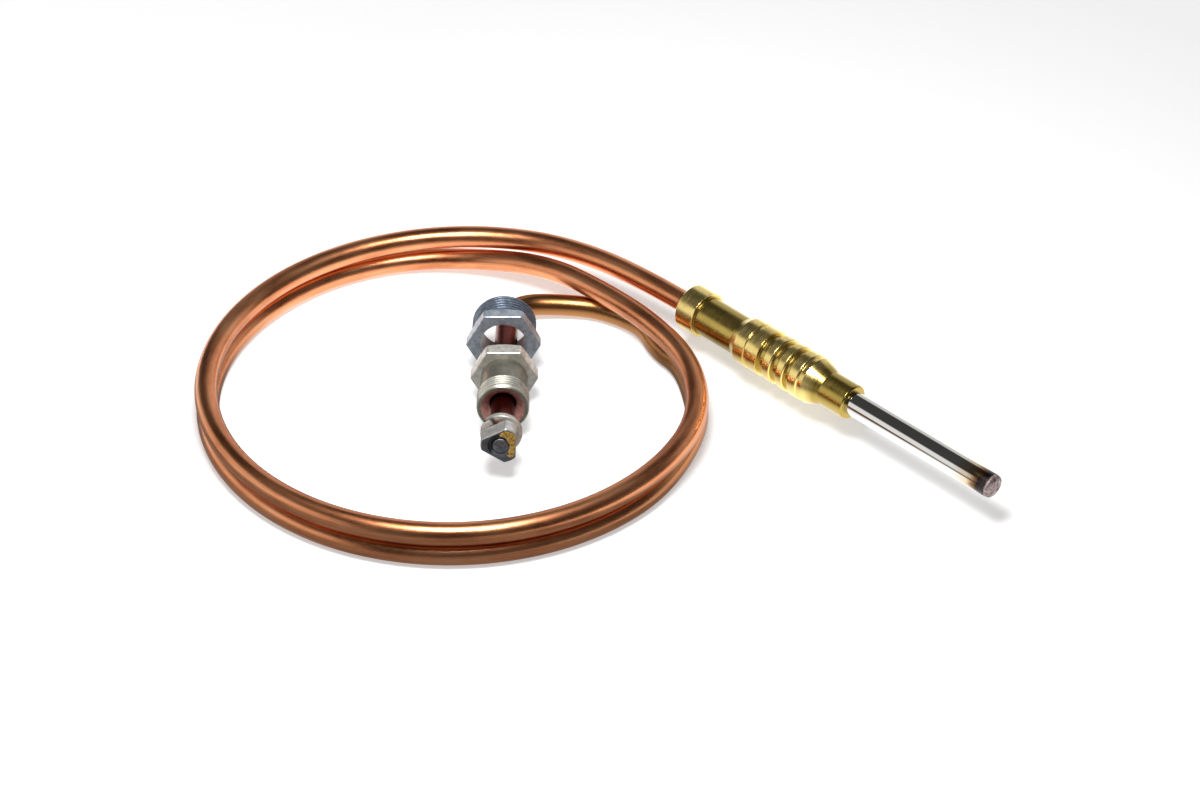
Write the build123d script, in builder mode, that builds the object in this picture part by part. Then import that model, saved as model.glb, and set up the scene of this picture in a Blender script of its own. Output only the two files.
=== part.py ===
"""Gas-burner thermocouple with a coiled copper lead, in millimetres.

Frame: the origin is the centre of the sleeve's front face, on the probe's axis. The probe rod
points along +X and +Z is up. The lead lies in two loose turns behind the sleeve, and ends in a
straight run that carries the loose adapter nut, connector nut, lock washer and soldered terminal.
"""
from build123d import *
from math import atan2, cos, degrees, pi, radians, sin, sqrt, tan
import os

# Clearances
SOLDER_GAP = 0.05  # radial, between a soldered or bonded piece and its bore
CORE_GAP = 0.10  # radial, between the conductor, its insulation and the tube around it
SEAT_GAP = 0.15  # along the axis, between the lock washer and the terminal
WASHER_CLEARANCE = 0.12  # radial, between the lock washer and the lead
NUT_CLEARANCE = 0.30  # between each nut's bore and the lead

# Probe rod: a sheath with a core wire inside, joined by the weld at the tip
ROD_RADIUS = 1.85
ROD_LENGTH = 26.7  # in front of the sleeve, without the weld
ROD_WALL = 0.5
ROD_SEAT = 9.0  # inside the sleeve
ROD_STEP = 0.2  # by which the rod is turned down where it sits in the sleeve
WELD_HEIGHT = 1.0
CORE_WIRE_RADIUS = 0.5
CORE_END_SPACE = 0.6  # between the core's insulation and the weld

# Brass sleeve: the bands from its rear face to its front face
COLLAR_LENGTH = 4.5
COLLAR_RADIUS = 3.65
COLLAR_BEVEL_LENGTH = 1.1
COLLAR_BEVEL_DEPTH = 1.3
NECK_LENGTH = 7.7
NECK_RADIUS = 3.1
SHOULDER_LENGTH = 1.3
BAND_LENGTH = 4.7
BAND_RADIUS = 3.75
BAND_GROOVE_DEPTH = 0.2
BAND_GROOVE_WIDTH = 0.7
RIB_RADIUS = 3.75
RIB_LENGTHS = (1.65, 1.5, 1.9)
GROOVE_RADIUS = 3.15
GROOVE_LENGTHS = (1.2, 1.15, 0.9)
RELIEF_RADIUS = 3.45
RELIEF_LENGTH = 0.9
TAPER_LENGTH = 2.8
NOSE_LENGTH = 4.7
NOSE_RADIUS = 2.75
EDGE_BEVEL = 0.2

# Lead: a copper tube around an insulated conductor
LEAD_RADIUS = 1.75
LEAD_WALL = 0.5
LEAD_SEAT = 3.5  # inside the sleeve
CONDUCTOR_RADIUS = 0.6
CAVITY_RADIUS = 1.45  # of the sleeve, between the lead's seat and the rod's seat
SPLICE_LENGTH = 6.0
SPLICE_RADIUS = 0.9
SPLICE_SEAT = 2.6  # of each wire, inside the splice
SPLICE_COVER_RADIUS = 1.35
BRAZE_LEG = 0.55

# Coil: two loose turns, pressed in on one side, each turn CORNERS_PER_TURN corners
COIL_CENTRE = (-47.79, -36.67)
COIL_RADIUS = 37.25
COIL_OVAL = 0.5  # half the difference between the long and the short way across
COIL_OVAL_ANGLE = 216
COIL_FIRST_ANGLE = 110
CORNERS_PER_TURN = 18
COIL_CORNERS = 32
CORNER_SHARE = 0.985  # of the corner's radius that the filleted path reaches
COIL_DENTS = ((1.4, 126, 90, 90), (6.4, 451, 66, 72))  # depth, angle, reach before and after
COIL_DROPS = ((1.85, 66, 150), (3.6, 466, 38))  # drop, the angle where it starts, its reach
EXIT_BEND = 11.0  # from the sleeve's rear face to the first corner

# Straight run under the nuts, and the terminal at its end. "Along" values are measured on the
# lead's axis from RUN_ORIGIN towards the terminal.
RUN_ORIGIN = (-52.82, -21.62, -3.78)
RUN_HEADING = -43.93
RUN_RISE = 6.0
BEND_ALONG = -8.28
LEAD_END_ALONG = 31.23

# Terminal
FERRULE_ALONG = 30.3
FERRULE_LENGTH = 2.7
FERRULE_RADIUS = 3.0
FLAT_DISTANCE = 2.25  # of each crimped flat from the axis
FLAT_ANGLES = (-3, 117, 237)
SOLDER_LENGTH = 0.4
CONTACT_RADIUS = 1.2
INSULATOR_WALL = 0.65
CONTACT_PROUD = 0.2

# Split lock washer
WASHER_RADIUS = 3.1
WASHER_THICKNESS = 1.0
WASHER_SET = 0.5  # how far one end stands off the other, along the axis
WASHER_GAP_ANGLE = 9.0
WASHER_GAP_AT = 128.0

# Connector nut
CONNECTOR_ALONG = 11.5
CONNECTOR_HEX = 9.0  # across flats
CONNECTOR_HEX_LENGTH = 2.6
CONNECTOR_BARREL_LENGTH = 5.2
CONNECTOR_BARREL_RADIUS = 3.55
CONNECTOR_THREAD_LENGTH = 3.35
CONNECTOR_THREAD_RADIUS = 3.95
CONNECTOR_CONE_RADIUS = 3.25
THREAD_BEVEL = 0.35

# Adapter nut, whose wide bore leaves the lead near its lower wall
ADAPTER_ALONG = 0.0
ADAPTER_SIDE_SHIFT = -0.3
ADAPTER_HEX = 10.0
ADAPTER_HEX_LENGTH = 2.4
ADAPTER_THREAD_LENGTH = 4.4
ADAPTER_THREAD_RADIUS = 4.95
ADAPTER_BORE_RADIUS = 3.6
ADAPTER_MOUTH_BEVEL = 0.6
HEX_BEVEL_ANGLE = 30

# The lead's corners between the coil and the straight run
TAIL_POINTS = [
    (-16.5, -15.4, -5.45),
    (-24.5, -9.3, -5.45),
    (-29.5, -6.7, -5.45),
    (-34.4, -6.4, -5.45),
    (-40.1, -3.85, -5.45),
    (-45.8, -4.5, -5.45),
    (-51.4, -7.0, -5.45),
]

os.makedirs("parts", exist_ok=True)


def save(piece, name):
    """Label a finished piece and write its STEP file."""
    piece.part.label = name
    export_step(piece.part, f"parts/{name}.step")


# Lengths that follow from the driving dimensions
SLEEVE_LENGTH = (
    COLLAR_LENGTH + NECK_LENGTH + SHOULDER_LENGTH + BAND_LENGTH + sum(GROOVE_LENGTHS)
    + sum(RIB_LENGTHS) + RELIEF_LENGTH + TAPER_LENGTH + NOSE_LENGTH
)
SLEEVE_REAR = -SLEEVE_LENGTH
LEAD_START = SLEEVE_REAR + LEAD_SEAT
LEAD_BORE_RADIUS = LEAD_RADIUS - LEAD_WALL
ROD_BORE_RADIUS = ROD_RADIUS - ROD_WALL
SPLICE_MIDDLE = (LEAD_START - ROD_SEAT) / 2
SPLICE_REAR = SPLICE_MIDDLE - SPLICE_LENGTH / 2
SPLICE_FRONT = SPLICE_MIDDLE + SPLICE_LENGTH / 2
TERMINAL_BORE_RADIUS = CONTACT_RADIUS + INSULATOR_WALL + 2 * SOLDER_GAP
WASHER_BORE_RADIUS = LEAD_RADIUS + WASHER_CLEARANCE
CONNECTOR_BORE_RADIUS = LEAD_RADIUS + NUT_CLEARANCE
ADAPTER_PLAY = ADAPTER_BORE_RADIUS - LEAD_RADIUS - NUT_CLEARANCE
ADAPTER_SHIFT = (ADAPTER_SIDE_SHIFT, sqrt(ADAPTER_PLAY**2 - ADAPTER_SIDE_SHIFT**2))


# ---------------------------------------------------------------- probe
def tube(name, start, end, outer, inner=0):
    """A plain round tube or bar along X."""
    with BuildPart() as piece:
        with BuildSketch(Plane.YZ.offset(start)):
            Circle(outer)
            if inner > 0:
                Circle(inner, mode=Mode.SUBTRACT)
        extrude(amount=end - start)
    save(piece, name)


def sleeve_outline():
    """The outline's points from the rear face to the front face."""
    x = SLEEVE_REAR
    points = [(x, 0), (x, COLLAR_RADIUS - COLLAR_BEVEL_DEPTH), (x + COLLAR_BEVEL_LENGTH, COLLAR_RADIUS)]
    x += COLLAR_LENGTH
    points += [(x, COLLAR_RADIUS), (x, NECK_RADIUS)]
    x += NECK_LENGTH
    points += [(x, NECK_RADIUS), (x + SHOULDER_LENGTH, BAND_RADIUS)]
    x += SHOULDER_LENGTH + BAND_LENGTH
    points += [(x, BAND_RADIUS), (x, GROOVE_RADIUS)]
    for groove_length, rib_length in zip(GROOVE_LENGTHS, RIB_LENGTHS):
        x += groove_length
        points += [(x, GROOVE_RADIUS), (x, RIB_RADIUS - EDGE_BEVEL), (x + EDGE_BEVEL, RIB_RADIUS)]
        x += rib_length
        points += [(x - EDGE_BEVEL, RIB_RADIUS), (x, RIB_RADIUS - EDGE_BEVEL), (x, GROOVE_RADIUS)]
    points[-1] = (x, RELIEF_RADIUS)
    x += RELIEF_LENGTH
    points += [(x, RELIEF_RADIUS), (x, RIB_RADIUS), (x + TAPER_LENGTH, NOSE_RADIUS)]
    points += [(-EDGE_BEVEL, NOSE_RADIUS), (0, NOSE_RADIUS - EDGE_BEVEL), (0, 0)]
    return points


with BuildPart() as brass_sleeve:
    with BuildSketch(Plane.XZ):
        with BuildLine():
            Polyline(sleeve_outline(), close=True)
        make_face()
        band_middle = SLEEVE_REAR + COLLAR_LENGTH + NECK_LENGTH + SHOULDER_LENGTH + BAND_LENGTH / 2
        with Locations((band_middle, BAND_RADIUS)):
            Rectangle(BAND_GROOVE_WIDTH, 2 * BAND_GROOVE_DEPTH, mode=Mode.SUBTRACT)
    revolve(axis=Axis.X)
    with BuildSketch(Plane.YZ.offset(SLEEVE_REAR)):
        Circle(LEAD_RADIUS + SOLDER_GAP)
    extrude(amount=LEAD_SEAT, mode=Mode.SUBTRACT)
    with BuildSketch(Plane.YZ.offset(LEAD_START)):
        Circle(CAVITY_RADIUS)
    extrude(amount=-ROD_SEAT - LEAD_START, mode=Mode.SUBTRACT)
    with BuildSketch(Plane.YZ.offset(-ROD_SEAT)):
        Circle(ROD_RADIUS - ROD_STEP + SOLDER_GAP)
    extrude(amount=ROD_SEAT, mode=Mode.SUBTRACT)
save(brass_sleeve, "brass_sleeve")

with BuildPart() as probe_sheath:
    with BuildSketch(Plane.YZ):
        Circle(ROD_RADIUS)
    extrude(amount=ROD_LENGTH)
    with BuildSketch(Plane.YZ):
        Circle(ROD_RADIUS - ROD_STEP)
    extrude(amount=-ROD_SEAT)
    with BuildSketch(Plane.YZ.offset(-ROD_SEAT)):
        Circle(ROD_BORE_RADIUS)
    extrude(amount=ROD_SEAT + ROD_LENGTH, mode=Mode.SUBTRACT)
save(probe_sheath, "probe_sheath")

with BuildPart() as hot_junction_weld:
    with BuildSketch(Plane.XZ):
        with BuildLine():
            tip = (ROD_LENGTH + WELD_HEIGHT, 0)
            shoulder = (ROD_LENGTH + WELD_HEIGHT / 3, ROD_RADIUS)
            Polyline(tip, (ROD_LENGTH, 0), (ROD_LENGTH, ROD_RADIUS), shoulder)
            EllipticalCenterArc(
                (shoulder[0], 0), tip[0] - shoulder[0], ROD_RADIUS, start_angle=0, arc_size=90
            )
        make_face()
    revolve(axis=Axis.X)
save(hot_junction_weld, "hot_junction_weld")

tube("core_wire", SPLICE_FRONT - SPLICE_SEAT, ROD_LENGTH, CORE_WIRE_RADIUS)
tube(
    "core_insulator",
    -ROD_SEAT,
    ROD_LENGTH - CORE_END_SPACE,
    ROD_BORE_RADIUS - SOLDER_GAP,
    CORE_WIRE_RADIUS + CORE_GAP,
)

with BuildPart() as cold_junction_splice:
    with BuildSketch(Plane.YZ.offset(SPLICE_REAR)):
        Circle(SPLICE_RADIUS)
    extrude(amount=SPLICE_LENGTH)
    with BuildSketch(Plane.YZ.offset(SPLICE_REAR)):
        Circle(CONDUCTOR_RADIUS + SOLDER_GAP)
    extrude(amount=SPLICE_SEAT, mode=Mode.SUBTRACT)
    with BuildSketch(Plane.YZ.offset(SPLICE_FRONT)):
        Circle(CORE_WIRE_RADIUS + SOLDER_GAP)
    extrude(amount=-SPLICE_SEAT, mode=Mode.SUBTRACT)
save(cold_junction_splice, "cold_junction_splice")

tube("splice_cover", LEAD_START, -ROD_SEAT, SPLICE_COVER_RADIUS, SPLICE_RADIUS + SOLDER_GAP)


def braze_ring(name, face, away, radius):
    """A ring of braze metal in the corner between a sleeve face and the tube that leaves it."""
    inner = radius + SOLDER_GAP / 2
    with BuildPart() as piece:
        with BuildSketch(Plane.XZ):
            with BuildLine():
                foot = (face, inner + BRAZE_LEG)
                top = (face + away * BRAZE_LEG, inner)
                RadiusArc(foot, top, -away * 1.5 * BRAZE_LEG)
                Polyline(top, (face, inner), foot)
            make_face()
        revolve(axis=Axis.X)
    save(piece, name)


braze_ring("rear_braze_ring", SLEEVE_REAR, -1, LEAD_RADIUS)


# ---------------------------------------------------------------- lead
def blend(share):
    """Rise smoothly from 0 to 1 as share goes from 0 to 1."""
    share = min(max(share, 0), 1)
    return share * share * (3 - 2 * share)


def bump(angle, middle, before, after):
    """A smooth bump of height 1 at middle, which ends at the angles before and after it."""
    reach = (angle - middle) / (before if angle < middle else after)
    return (1 + cos(pi * reach)) / 2 if abs(reach) < 1 else 0


def coil_corner(angle):
    """A corner of the coil's path, by its angle about COIL_CENTRE."""
    radius = COIL_RADIUS + COIL_OVAL * cos(radians(2 * (angle - COIL_OVAL_ANGLE)))
    radius -= sum(depth * bump(angle, *dent) for depth, *dent in COIL_DENTS)
    radius /= CORNER_SHARE
    height = -sum(drop * blend((angle - start) / reach) for drop, start, reach in COIL_DROPS)
    x = COIL_CENTRE[0] + radius * cos(radians(angle))
    y = COIL_CENTRE[1] + radius * sin(radians(angle))
    return (x, y, height)


run_direction = Vector(
    cos(radians(RUN_RISE)) * cos(radians(RUN_HEADING)),
    cos(radians(RUN_RISE)) * sin(radians(RUN_HEADING)),
    sin(radians(RUN_RISE)),
)
run_plane = Plane(
    origin=RUN_ORIGIN,
    x_dir=(-sin(radians(RUN_HEADING)), cos(radians(RUN_HEADING)), 0),
    z_dir=run_direction,
)


def lead_points(start_x, end_along):
    """The lead's corners, from a start inside the sleeve to an end near the terminal."""
    coil = [coil_corner(COIL_FIRST_ANGLE + i * 360 / CORNERS_PER_TURN) for i in range(COIL_CORNERS)]
    points = [(start_x, 0, 0), (SLEEVE_REAR - EXIT_BEND, 0, 0), *coil, *TAIL_POINTS]
    points += [run_plane.from_local_coords((0, 0, along)) for along in (BEND_ALONG, end_along)]
    return [Vector(point) for point in points]


def corner_radii(points):
    """The largest arc that the two runs beside each corner allow."""
    radii = []
    for before, corner, after in zip(points, points[1:], points[2:]):
        turn = (corner - before).get_angle(after - corner)
        shorter = min((corner - before).length, (after - corner).length)
        radii.append(0.45 * shorter / tan(radians(turn / 2)))
    return radii


LEAD_CORNERS = lead_points(LEAD_START, LEAD_END_ALONG)
LEAD_RADII = corner_radii(LEAD_CORNERS)


def lead_sweep(name, start_x, end_along, outer, inner=0):
    """A round tube or bar along the lead's path, between its own two ends."""
    with BuildPart() as piece:
        with BuildLine() as path:
            FilletPolyline(lead_points(start_x, end_along), radius=LEAD_RADII)
        with BuildSketch(Plane(origin=(start_x, 0, 0), z_dir=(-1, 0, 0))) as section:
            Circle(outer)
            if inner > 0:
                Circle(inner, mode=Mode.SUBTRACT)
        sweep(path=path.line)
    save(piece, name)
    length = path.wire().length
    share = piece.part.volume / (section.sketch.area * length)
    print(f"{name}: length {length:.1f}, volume over section times length {share:.4f}")


lead_sweep("lead_tube", LEAD_START, LEAD_END_ALONG, LEAD_RADIUS, LEAD_BORE_RADIUS)
lead_sweep(
    "lead_insulation",
    LEAD_START,
    LEAD_END_ALONG,
    LEAD_BORE_RADIUS - CORE_GAP,
    CONDUCTOR_RADIUS + CORE_GAP,
)
CONTACT_REAR_ALONG = LEAD_END_ALONG + SOLDER_LENGTH
lead_sweep("lead_conductor", SPLICE_REAR + SPLICE_SEAT, CONTACT_REAR_ALONG, CONDUCTOR_RADIUS)
print("lead corner radii:", [round(radius, 1) for radius in LEAD_RADII])


# ---------------------------------------------------------------- terminal
def run_offset(along):
    """The plane across the lead's straight run at a distance along it."""
    return run_plane.offset(along)


FERRULE_FRONT = FERRULE_ALONG + FERRULE_LENGTH
with BuildPart() as terminal_ferrule:
    with BuildSketch(run_offset(FERRULE_ALONG)):
        Circle(FERRULE_RADIUS)
        for angle in FLAT_ANGLES:
            middle = FLAT_DISTANCE + FERRULE_RADIUS / 2
            spot = Vector(middle, 0).rotate(Axis.Z, angle)
            with Locations(Location((spot.X, spot.Y), angle)):
                Rectangle(FERRULE_RADIUS, 2 * FERRULE_RADIUS, mode=Mode.SUBTRACT)
    extrude(amount=FERRULE_LENGTH)
    with BuildSketch(run_offset(FERRULE_ALONG)):
        Circle(LEAD_RADIUS + SOLDER_GAP)
    extrude(amount=FERRULE_LENGTH, mode=Mode.SUBTRACT)
    with BuildSketch(run_offset(CONTACT_REAR_ALONG)):
        Circle(TERMINAL_BORE_RADIUS)
    extrude(amount=FERRULE_FRONT - CONTACT_REAR_ALONG, mode=Mode.SUBTRACT)
save(terminal_ferrule, "terminal_ferrule")


def run_tube(name, start, end, outer, inner=0):
    """A plain round tube or bar on the lead's straight run."""
    with BuildPart() as piece:
        with BuildSketch(run_offset(start)):
            Circle(outer)
            if inner > 0:
                Circle(inner, mode=Mode.SUBTRACT)
        extrude(amount=end - start)
    save(piece, name)


run_tube(
    "terminal_solder",
    LEAD_END_ALONG,
    CONTACT_REAR_ALONG,
    LEAD_RADIUS,
    CONDUCTOR_RADIUS + CORE_GAP,
)
run_tube(
    "terminal_insulator",
    CONTACT_REAR_ALONG,
    FERRULE_FRONT,
    TERMINAL_BORE_RADIUS - SOLDER_GAP,
    CONTACT_RADIUS + SOLDER_GAP,
)
with BuildPart() as terminal_contact:
    with BuildSketch(run_offset(CONTACT_REAR_ALONG)):
        Circle(CONTACT_RADIUS)
    extrude(amount=FERRULE_FRONT + CONTACT_PROUD - CONTACT_REAR_ALONG)
    front_face = terminal_contact.faces().sort_by(Axis(RUN_ORIGIN, run_direction))[-1]
    fillet(front_face.edges(), radius=CONTACT_PROUD * 0.9)
save(terminal_contact, "terminal_contact")

# ---------------------------------------------------------------- lock washer
WASHER_FRONT = FERRULE_ALONG - SEAT_GAP
WASHER_REAR = WASHER_FRONT - WASHER_SET - WASHER_THICKNESS
washer_centre = run_plane.from_local_coords((0, 0, WASHER_REAR + WASHER_THICKNESS / 2))
with BuildPart() as lock_washer:
    with BuildLine() as ring_path:
        Helix(
            pitch=WASHER_SET * 360 / (360 - WASHER_GAP_ANGLE),
            height=WASHER_SET,
            radius=(WASHER_RADIUS + WASHER_BORE_RADIUS) / 2,
            center=washer_centre,
            direction=run_direction,
            lefthand=True,
        )
    ring_start = ring_path.line @ 0
    section_plane = Plane(
        origin=ring_start, x_dir=ring_start - washer_centre, z_dir=ring_path.line % 0
    )
    with BuildSketch(section_plane):
        Rectangle(WASHER_RADIUS - WASHER_BORE_RADIUS, WASHER_THICKNESS)
    sweep(path=ring_path.line, is_frenet=True)
start_spot = run_plane.to_local_coords(ring_start)
start_angle = degrees(atan2(start_spot.Y, start_spot.X))
gap_turn = WASHER_GAP_AT - WASHER_GAP_ANGLE / 2 - start_angle
lock_washer.part = lock_washer.part.rotate(Axis(RUN_ORIGIN, run_direction), gap_turn)
save(lock_washer, "lock_washer")


# ---------------------------------------------------------------- nuts
def nut_axis_plane(shift=(0, 0)):
    """A plane through a nut's axis: its x runs along the axis and its y is the radius."""
    origin = run_plane.from_local_coords((*shift, 0))
    return Plane(origin=origin, x_dir=run_direction, z_dir=run_plane.x_dir)


def nut_section_plane(along, shift=(0, 0)):
    """The plane across a nut at a distance along its axis, with its y pointing up."""
    origin = run_plane.from_local_coords((*shift, along))
    return Plane(origin=origin, x_dir=run_plane.x_dir, z_dir=run_direction)


def hexagon_bevel(along, across_flats):
    """The outline to cut away so that a hexagon's rear corners are turned round."""
    corner = across_flats / 2 / cos(radians(30))
    depth = (corner - across_flats / 2 + EDGE_BEVEL) * tan(radians(HEX_BEVEL_ANGLE))
    rim = across_flats / 2 - EDGE_BEVEL
    return [(along, rim), (along, corner + 1), (along + depth, corner + 1), (along + depth, corner)]


with BuildPart() as adapter_nut:
    plane = nut_axis_plane(ADAPTER_SHIFT)
    axis = Axis(plane.origin, run_direction)
    hex_along = ADAPTER_ALONG + ADAPTER_THREAD_LENGTH
    adapter_front = hex_along + ADAPTER_HEX_LENGTH
    with BuildSketch(nut_section_plane(hex_along, ADAPTER_SHIFT)):
        RegularPolygon(ADAPTER_HEX / 2, 6, major_radius=False)
    extrude(amount=ADAPTER_HEX_LENGTH)
    with BuildSketch(plane):
        with BuildLine():
            Polyline(hexagon_bevel(hex_along, ADAPTER_HEX), close=True)
        make_face()
    revolve(axis=axis, mode=Mode.SUBTRACT)
    with BuildSketch(plane):
        with BuildLine():
            Polyline(
                (ADAPTER_ALONG, 0),
                (ADAPTER_ALONG, ADAPTER_THREAD_RADIUS - THREAD_BEVEL),
                (ADAPTER_ALONG + THREAD_BEVEL, ADAPTER_THREAD_RADIUS),
                (hex_along, ADAPTER_THREAD_RADIUS),
                (hex_along, 0),
                close=True,
            )
        make_face()
    revolve(axis=axis)
    with BuildSketch(plane):
        with BuildLine():
            Polyline(
                (ADAPTER_ALONG, 0),
                (ADAPTER_ALONG, ADAPTER_BORE_RADIUS + ADAPTER_MOUTH_BEVEL),
                (ADAPTER_ALONG + ADAPTER_MOUTH_BEVEL, ADAPTER_BORE_RADIUS),
                (adapter_front - ADAPTER_MOUTH_BEVEL / 2, ADAPTER_BORE_RADIUS),
                (adapter_front, ADAPTER_BORE_RADIUS + ADAPTER_MOUTH_BEVEL / 2),
                (adapter_front, 0),
                close=True,
            )
        make_face()
    revolve(axis=axis, mode=Mode.SUBTRACT)
save(adapter_nut, "adapter_nut")

with BuildPart() as connector_nut:
    plane = nut_axis_plane()
    axis = Axis(plane.origin, run_direction)
    barrel_along = CONNECTOR_ALONG + CONNECTOR_HEX_LENGTH
    thread_along = barrel_along + CONNECTOR_BARREL_LENGTH
    connector_front = thread_along + CONNECTOR_THREAD_LENGTH
    cone_depth = CONNECTOR_CONE_RADIUS - CONNECTOR_BORE_RADIUS
    with BuildSketch(nut_section_plane(CONNECTOR_ALONG)):
        RegularPolygon(CONNECTOR_HEX / 2, 6, major_radius=False)
    extrude(amount=CONNECTOR_HEX_LENGTH)
    with BuildSketch(plane):
        with BuildLine():
            Polyline(hexagon_bevel(CONNECTOR_ALONG, CONNECTOR_HEX), close=True)
        make_face()
    revolve(axis=axis, mode=Mode.SUBTRACT)
    with BuildSketch(plane):
        with BuildLine():
            Polyline(
                (barrel_along, 0),
                (barrel_along, CONNECTOR_BARREL_RADIUS),
                (thread_along, CONNECTOR_BARREL_RADIUS),
                (thread_along, CONNECTOR_THREAD_RADIUS - THREAD_BEVEL),
                (thread_along + THREAD_BEVEL, CONNECTOR_THREAD_RADIUS),
                (connector_front - THREAD_BEVEL, CONNECTOR_THREAD_RADIUS),
                (connector_front, CONNECTOR_THREAD_RADIUS - THREAD_BEVEL),
                (connector_front, 0),
                close=True,
            )
        make_face()
    revolve(axis=axis)
    with BuildSketch(plane):
        with BuildLine():
            Polyline(
                (CONNECTOR_ALONG, 0),
                (CONNECTOR_ALONG, CONNECTOR_BORE_RADIUS),
                (connector_front - cone_depth, CONNECTOR_BORE_RADIUS),
                (connector_front, CONNECTOR_CONE_RADIUS),
                (connector_front, 0),
                close=True,
            )
        make_face()
    revolve(axis=axis, mode=Mode.SUBTRACT)
save(connector_nut, "connector_nut")
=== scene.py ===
"""Studio view of a gas-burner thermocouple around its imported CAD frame, in metres."""
import bmesh
import bpy
from math import cos, pi, radians, sin, sqrt, tan
from mathutils import Matrix, Vector, noise


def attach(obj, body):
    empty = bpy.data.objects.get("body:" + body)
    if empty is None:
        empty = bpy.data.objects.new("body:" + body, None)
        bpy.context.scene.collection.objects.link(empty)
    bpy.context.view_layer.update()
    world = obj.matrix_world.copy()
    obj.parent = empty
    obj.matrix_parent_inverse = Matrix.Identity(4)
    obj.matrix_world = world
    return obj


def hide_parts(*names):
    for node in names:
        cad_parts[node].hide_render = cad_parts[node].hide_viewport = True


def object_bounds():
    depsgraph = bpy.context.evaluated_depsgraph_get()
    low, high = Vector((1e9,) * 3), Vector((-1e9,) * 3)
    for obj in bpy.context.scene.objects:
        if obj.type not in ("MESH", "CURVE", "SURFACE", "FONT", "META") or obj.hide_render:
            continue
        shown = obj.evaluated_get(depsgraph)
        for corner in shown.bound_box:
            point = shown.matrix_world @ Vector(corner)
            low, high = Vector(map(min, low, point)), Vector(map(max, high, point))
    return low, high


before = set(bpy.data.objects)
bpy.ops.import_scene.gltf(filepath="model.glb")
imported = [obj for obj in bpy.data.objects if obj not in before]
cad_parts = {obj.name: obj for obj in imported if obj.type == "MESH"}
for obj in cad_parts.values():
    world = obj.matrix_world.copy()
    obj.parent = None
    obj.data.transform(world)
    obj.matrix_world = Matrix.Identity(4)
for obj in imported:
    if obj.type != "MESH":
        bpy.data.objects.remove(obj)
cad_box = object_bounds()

MM = 0.001
ON_AXIS = 1e-6  # a radius so small that clean() closes the surface there

# Probe, along X, with the sleeve's front face at x = 0
SLEEVE_LENGTH = 34.9 * MM
ROD_LENGTH = 26.7 * MM
ROD_RADIUS = 1.85 * MM
WELD_HEIGHT = 1.0 * MM

# Lead
LEAD_RADIUS = 1.75 * MM
LEAD_SEAT = 3.5 * MM
LEAD_SEGMENTS = 40
GOLDEN_ALONG = (0.405, 0.455)  # where the copper turns golden, in metres from the sleeve
NUT_SHADE_ALONG = (0.487, 0.493)  # and where painted shade turns it dark red, inside the nuts
EXIT_BEND = 11.0 * MM
COIL_CENTRE = (-47.79 * MM, -36.67 * MM)
COIL_RADIUS = 37.25 * MM
COIL_OVAL = 0.5 * MM
COIL_OVAL_ANGLE = 216
COIL_FIRST_ANGLE = 110
CORNERS_PER_TURN = 18
COIL_CORNERS = 32
CORNER_SHARE = 0.985
# Dents are (depth, middle angle, reach before, reach after), drops (depth, start angle, reach)
COIL_DENTS = ((1.4 * MM, 126, 90, 90), (6.4 * MM, 451, 66, 72))
COIL_DROPS = ((1.85 * MM, 66, 150), (3.6 * MM, 466, 38))

# Straight run under the nuts: "along" is the distance on the lead's axis from RUN_ORIGIN
RUN_ORIGIN = Vector((-52.82 * MM, -21.62 * MM, -3.78 * MM))
RUN_HEADING = radians(-43.93)
RUN_RISE = radians(6.0)
BEND_ALONG = -8.28 * MM
BEND_NEXT_ALONG = 3.5 * MM
LEAD_END_ALONG = 31.23 * MM
TAIL_POINTS = [
    (-16.5, -15.4, -5.45),
    (-24.5, -9.3, -5.45),
    (-29.5, -6.7, -5.45),
    (-34.4, -6.4, -5.45),
    (-40.1, -3.85, -5.45),
    (-45.8, -4.5, -5.45),
    (-51.4, -7.0, -5.45),
]

# Terminal, lock washer and nuts
FERRULE_ALONG = 30.3 * MM
FERRULE_LENGTH = 2.7 * MM
FERRULE_RADIUS = 3.0 * MM
FLAT_DISTANCE = 2.25 * MM
FLAT_ANGLES = (-3, 117, 237)
TERMINAL_BORE = 1.95 * MM
TERMINAL_DEPTH = 0.9 * MM
CONTACT_RADIUS = 1.2 * MM
CONTACT_GAP = 0.02 * MM
WASHER_RADIUS = 3.1 * MM
WASHER_BORE = 1.87 * MM
WASHER_THICKNESS = 1.0 * MM
WASHER_SET = 0.5 * MM
WASHER_GAP = radians(9.0)
WASHER_GAP_AT = radians(132.0)
WASHER_SLANT = radians(16.0)  # of the cut, from mid-thickness to the washer's face
WASHER_REAR = 28.65 * MM
CONNECTOR_ALONG = 11.5 * MM
CONNECTOR_HEX = 9.0 * MM
CONNECTOR_HEX_LENGTH = 2.6 * MM
CONNECTOR_BARREL_LENGTH = 5.2 * MM
CONNECTOR_BARREL_RADIUS = 3.55 * MM
CONNECTOR_THREAD_LENGTH = 3.35 * MM
CONNECTOR_THREAD_RADIUS = 3.95 * MM
CONNECTOR_BORE = 2.05 * MM
CONNECTOR_CONE = 3.25 * MM
CONNECTOR_RIM_GAP = 0.05 * MM
ADAPTER_SHIFT = (-0.3 * MM, 1.5207 * MM)
ADAPTER_HEX = 10.0 * MM
ADAPTER_HEX_LENGTH = 2.4 * MM
ADAPTER_THREAD_LENGTH = 4.4 * MM
ADAPTER_THREAD_RADIUS = 4.95 * MM
ADAPTER_BORE = 3.6 * MM
CONNECTOR_THREAD_PITCH = 0.6 * MM
ADAPTER_THREAD_PITCH = 0.75 * MM
CONNECTOR_THREAD_DEPTH = 0.26 * MM
ADAPTER_THREAD_DEPTH = 0.42 * MM
NUT_SEGMENTS = 192

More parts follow.
